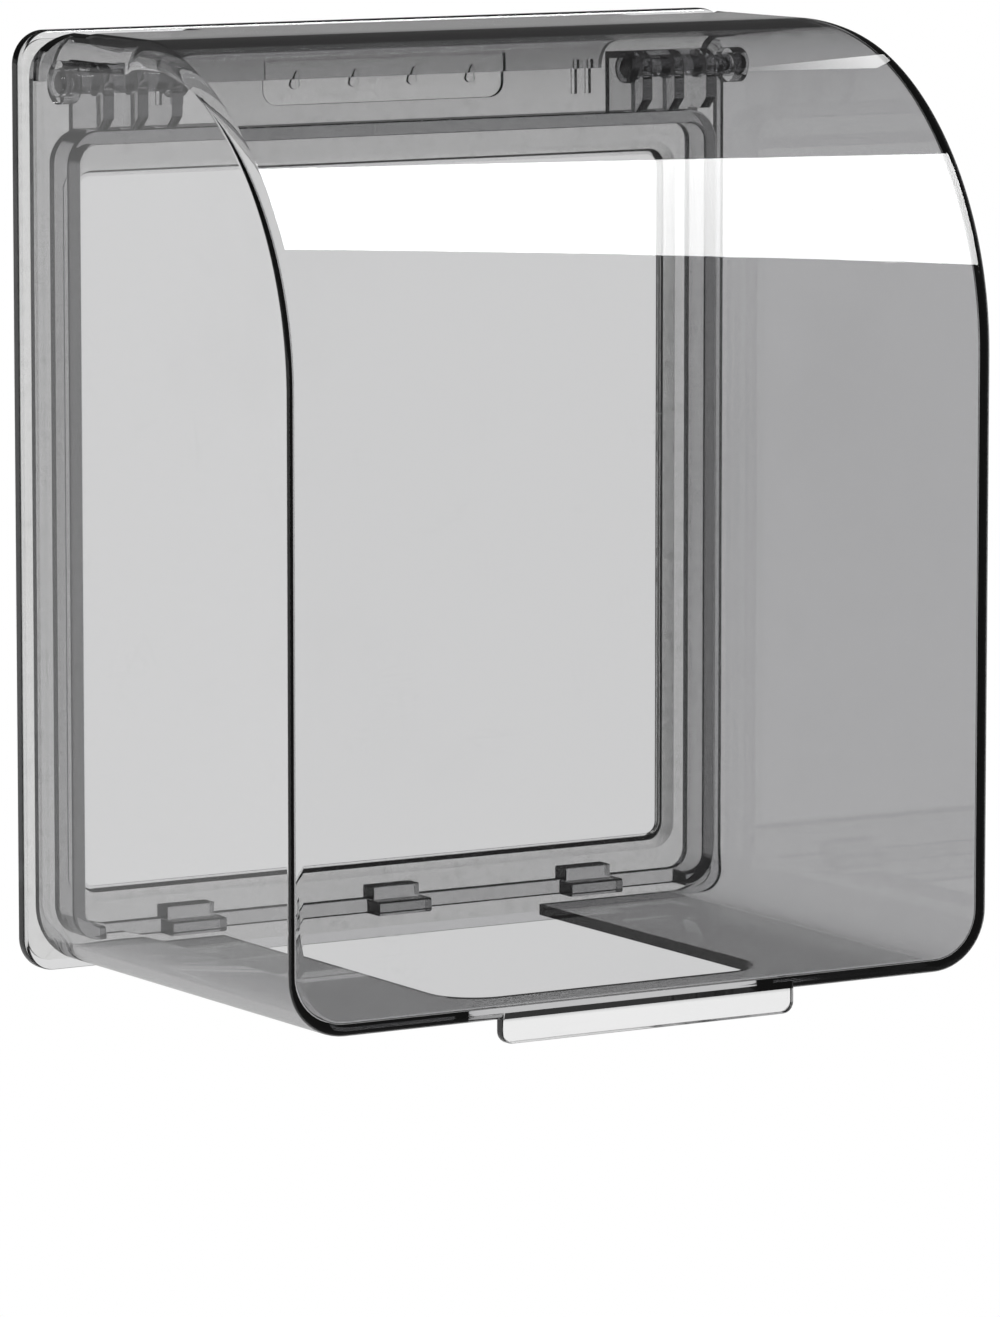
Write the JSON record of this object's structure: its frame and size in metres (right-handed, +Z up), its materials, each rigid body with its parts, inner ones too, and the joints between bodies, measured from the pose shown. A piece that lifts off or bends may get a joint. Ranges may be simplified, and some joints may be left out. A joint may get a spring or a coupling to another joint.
{
  "type": "waterproof socket cover",
  "caption": "Splash cover for a square wall socket: a clear back frame round the faceplate and a deep smoked lid that swings up, with a slot in its floor for the lead.",
  "frame": {"origin": "centre of the frame's window, on the wall plane behind the adhesive gasket", "axes": "+Z up, +X to the right seen from the room, +Y into the wall, so the front of the lid faces -Y"},
  "size_m": [0.1094, 0.07, 0.1257],
  "materials": {
    "clear_plastic": "clear, faintly smoked polycarbonate, polished",
    "gasket_gel": "soft translucent white adhesive gel",
    "pin_plastic": "clear smoked plastic",
    "smoked_plastic": "grey smoked clear polycarbonate, polished"
  },
  "bodies": {
    "frame": {"back_frame": "clear_plastic", "wall_gasket": "gasket_gel", "hinge_pin_left": "pin_plastic", "hinge_pin_right": "pin_plastic"},
    "lid": {"lid": "smoked_plastic"}
  },
  "joints": [
    {"name": "lid_hinge", "type": "hinge", "parent": "frame", "child": "lid", "pos_m": [0, -0.0096, 0.0598], "axis": [-1, 0, 0], "range_deg": [0, 90]}
  ]
}
